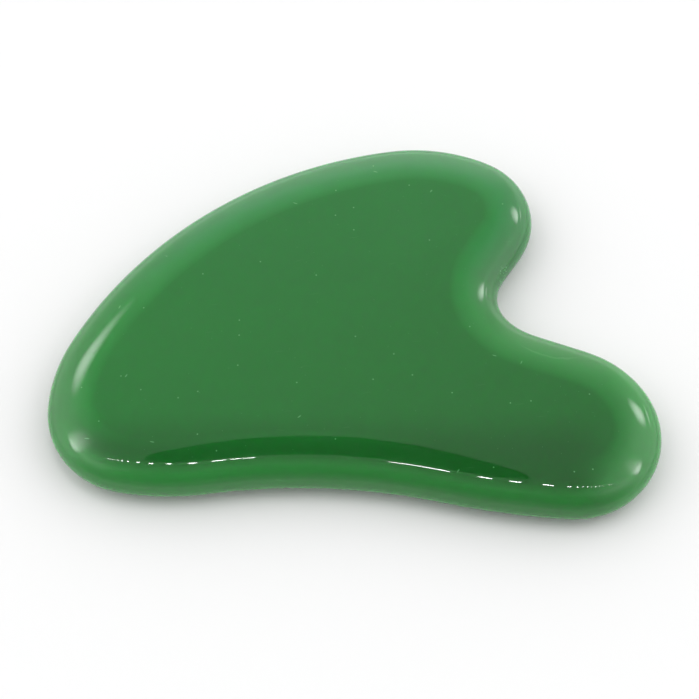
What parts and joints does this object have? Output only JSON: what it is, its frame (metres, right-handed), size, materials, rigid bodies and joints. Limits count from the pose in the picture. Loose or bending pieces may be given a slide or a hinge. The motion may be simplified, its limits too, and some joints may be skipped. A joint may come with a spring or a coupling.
{
  "type": "gua sha scraper",
  "caption": "Flat heart-shaped massage board of polished green stone with a short and a long lobe, a notch between them and a fully rounded rim.",
  "frame": {"origin": "centre of the bounding box, at the level of the lower flat face", "axes": "+X along the board from the heel to the lobes, +Y from the front edge to the back edge, +Z out of the upper flat face"},
  "size_m": [0.082, 0.0578, 0.0066],
  "materials": {
    "green_stone": "polished"
  },
  "bodies": {
    "root": {"scraper_board": "green_stone"}
  },
  "joints": []
}
